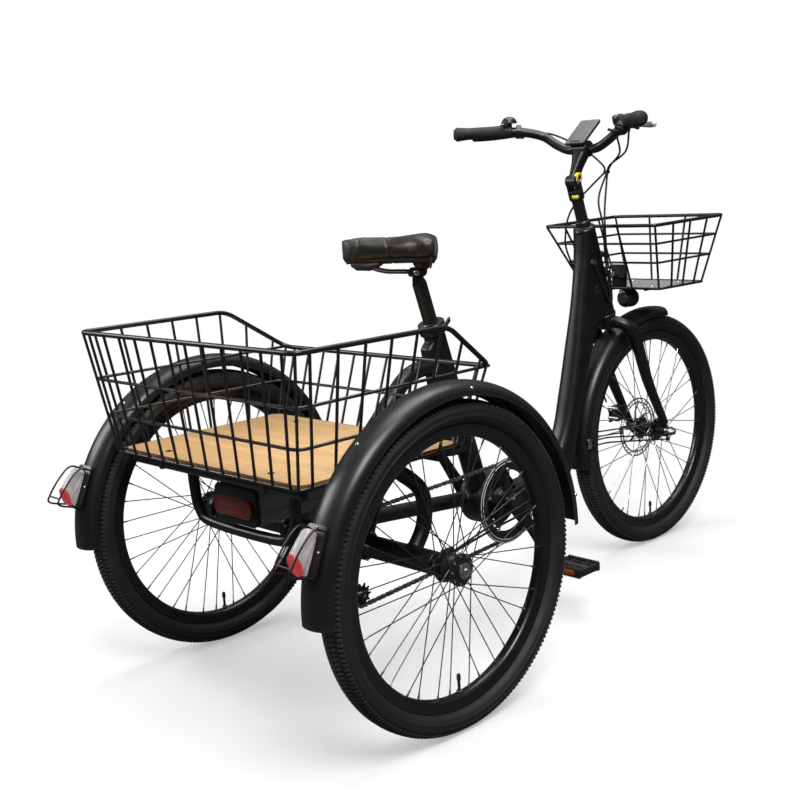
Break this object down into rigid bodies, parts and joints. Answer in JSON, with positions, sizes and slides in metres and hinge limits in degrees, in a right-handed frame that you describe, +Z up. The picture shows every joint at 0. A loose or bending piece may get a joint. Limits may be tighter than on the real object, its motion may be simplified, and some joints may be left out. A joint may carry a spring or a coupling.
{
  "type": "adult tricycle",
  "caption": "Step-through adult tricycle with front and rear wire baskets, wooden cargo deck, rear battery, fenders, disc brake and a chain drive to the rear axle.",
  "frame": {"origin": "on the ground, at the centre of the bounding box", "axes": "+Z up, -Y towards the front wheel (direction of travel), +X towards the rider's left hand"},
  "size_m": [0.794, 1.8461, 1.1314],
  "materials": {
    "frame_paint": "satin black powder coat",
    "satin_steel": "satin black",
    "wire_paint": "satin black coated wire",
    "bamboo": "light bamboo ply, clear satin varnish, brown edge",
    "tray_plastic": "pale grey, fine texture",
    "fender_plastic": "satin black",
    "lamp_clear": "clear and red lens",
    "lamp_body": "black housing with clear lens",
    "chain_steel": "grey steel",
    "alloy": "satin aluminium",
    "red_lens": "dark red translucent",
    "tyre_rubber": "black rubber",
    "rim_paint": "satin black anodised",
    "hub_paint": "black anodised with steel spokes",
    "grip_rubber": "matt black",
    "display_plastic": "light grey face",
    "pedal_plastic": "black with amber reflectors",
    "saddle_leather": "very dark brown, fine grain"
  },
  "bodies": {
    "frame": {"main_frame": "frame_paint", "headset_upper": "satin_steel", "headset_lower": "satin_steel", "seat_clamp": "satin_steel", "rear_basket": "wire_paint", "cargo_deck": "bamboo", "rear_fender_left": "fender_plastic", "rear_fender_right": "fender_plastic", "tail_lamp_left": "lamp_clear", "tail_lamp_right": "lamp_clear", "lamp_guard_left": "wire_paint", "lamp_guard_right": "wire_paint", "front_basket": "wire_paint", "front_basket_tray": "tray_plastic", "headlamp": "lamp_body", "chain": "chain_steel", "derailleur_body": "satin_steel", "derailleur_cage": "satin_steel"},
    "battery_pack": {"battery": "alloy", "battery_lens": "red_lens"},
    "upper_jockey": {"jockey_upper": "satin_steel"},
    "lower_jockey": {"jockey_lower": "satin_steel"},
    "rear_sprockets": {"cassette": "chain_steel"},
    "rear_wheel_left": {"rear_left_tyre": "tyre_rubber", "rear_left_rim": "rim_paint", "rear_left_hub": "hub_paint"},
    "rear_wheel_right": {"rear_right_tyre": "tyre_rubber", "rear_right_rim": "rim_paint", "rear_right_hub": "hub_paint"},
    "front_wheel": {"front_tyre": "tyre_rubber", "front_rim": "rim_paint", "front_hub": "hub_paint", "brake_rotor": "chain_steel"},
    "steering": {"fork": "frame_paint", "front_axle": "chain_steel", "front_fender": "fender_plastic", "brake_caliper": "satin_steel", "stem_post": "frame_paint"},
    "pad_arm": {"caliper_arm": "satin_steel"},
    "bars": {"stem_arm": "frame_paint", "handlebar": "frame_paint", "grip_left": "grip_rubber", "grip_right": "grip_rubber", "lever_perch_left": "satin_steel", "lever_perch_right": "satin_steel", "bell": "satin_steel", "shifter": "satin_steel", "display": "display_plastic"},
    "lever_left": {"brake_lever_left": "alloy"},
    "lever_right": {"brake_lever_right": "alloy"},
    "bell_striker": {"bell_lever": "satin_steel"},
    "shifter_paddle": {"shifter_lever": "grip_rubber"},
    "crank": {"crankset": "frame_paint", "chainring": "satin_steel"},
    "left_pedal": {"pedal_left": "pedal_plastic"},
    "right_pedal": {"pedal_right": "pedal_plastic"},
    "post": {"seat_post": "alloy"},
    "seat": {"saddle_base": "pedal_plastic", "saddle": "saddle_leather"},
    "clamp_lever": {"seat_clamp_lever": "chain_steel"}
  },
  "joints": [
    {"name": "steering_turn", "type": "hinge", "parent": "frame", "child": "steering", "pos_m": [0, -0.432, 0.63], "axis": [0, 0.3256, 0.9455], "range_deg": [-45, 45]},
    {"name": "stem_tilt", "type": "hinge", "parent": "steering", "child": "bars", "pos_m": [0, -0.3161, 0.9666], "axis": [1, 0, 0], "range_deg": [-30, 30]},
    {"name": "front_wheel_spin", "type": "hinge", "parent": "steering", "child": "front_wheel", "pos_m": [0, -0.618, 0.305], "axis": [1, 0, 0], "continuous": true},
    {"name": "pad_arm_swing", "type": "hinge", "parent": "steering", "child": "pad_arm", "pos_m": [0.065, -0.538, 0.362], "axis": [1, 0, 0], "range_deg": [0, 10.5]},
    {"name": "rear_left_spin", "type": "hinge", "parent": "frame", "child": "rear_wheel_left", "pos_m": [0.359, 0.538, 0.305], "axis": [1, 0, 0], "continuous": true},
    {"name": "rear_right_spin", "type": "hinge", "parent": "frame", "child": "rear_wheel_right", "pos_m": [-0.359, 0.538, 0.305], "axis": [1, 0, 0], "continuous": true},
    {"name": "crank_spin", "type": "hinge", "parent": "frame", "child": "crank", "pos_m": [0, 0.033, 0.266], "axis": [1, 0, 0], "continuous": true},
    {"name": "pedal_left_spin", "type": "hinge", "parent": "crank", "child": "left_pedal", "pos_m": [0.118, 0.10752, 0.41879], "axis": [1, 0, 0], "continuous": true},
    {"name": "pedal_right_spin", "type": "hinge", "parent": "crank", "child": "right_pedal", "pos_m": [-0.118, -0.04152, 0.11321], "axis": [1, 0, 0], "continuous": true},
    {"name": "sprocket_spin", "type": "hinge", "parent": "frame", "child": "rear_sprockets", "pos_m": [-0.055, 0.538, 0.305], "axis": [1, 0, 0], "continuous": true},
    {"name": "upper_jockey_spin", "type": "hinge", "parent": "frame", "child": "upper_jockey", "pos_m": [-0.055, 0.542, 0.229], "axis": [1, 0, 0], "continuous": true},
    {"name": "lower_jockey_spin", "type": "hinge", "parent": "frame", "child": "lower_jockey", "pos_m": [-0.055, 0.492, 0.173], "axis": [1, 0, 0], "continuous": true},
    {"name": "seat_height", "type": "slide", "parent": "frame", "child": "post", "axis": [0, 0.309, 0.9511], "range_m": [-0.09, 0.1]},
    {"name": "saddle_turn", "type": "hinge", "parent": "post", "child": "seat", "pos_m": [0, 0.22772, 0.797], "axis": [0, 0, 1], "range_deg": [-131, 20]},
    {"name": "clamp_lever_turn", "type": "hinge", "parent": "frame", "child": "clamp_lever", "pos_m": [-0.016, 0.2308, 0.67981], "axis": [0, 0, 1], "range_deg": [-120, 0]},
    {"name": "brake_lever_left_pull", "type": "hinge", "parent": "bars", "child": "lever_left", "pos_m": [0.17044, -0.33733, 1.08811], "axis": [0, 0, 1], "range_deg": [0, 7]},
    {"name": "brake_lever_right_pull", "type": "hinge", "parent": "bars", "child": "lever_right", "pos_m": [-0.17044, -0.33733, 1.08811], "axis": [0, 0, 1], "range_deg": [-7, 0]},
    {"name": "bell_lever_turn", "type": "hinge", "parent": "bars", "child": "bell_striker", "pos_m": [0.16997, -0.27688, 1.11039], "axis": [0, 0, 1], "range_deg": [-20, 20]},
    {"name": "shifter_turn", "type": "hinge", "parent": "bars", "child": "shifter_paddle", "pos_m": [-0.17297, -0.26667, 1.07604], "axis": [0, 0.8192, -0.5735], "range_deg": [-20, 20]},
    {"name": "battery_slide", "type": "slide", "parent": "frame", "child": "battery_pack", "axis": [0, 1, 0], "range_m": [0, 0.25]}
  ],
  "couplings": [
    {"joint": "sprocket_spin", "follows": "crank_spin", "ratio": 2.4444},
    {"joint": "upper_jockey_spin", "follows": "crank_spin", "ratio": -4},
    {"joint": "lower_jockey_spin", "follows": "crank_spin", "ratio": 4},
    {"joint": "pad_arm_swing", "follows": "brake_lever_left_pull", "ratio": 1.5}
  ]
}
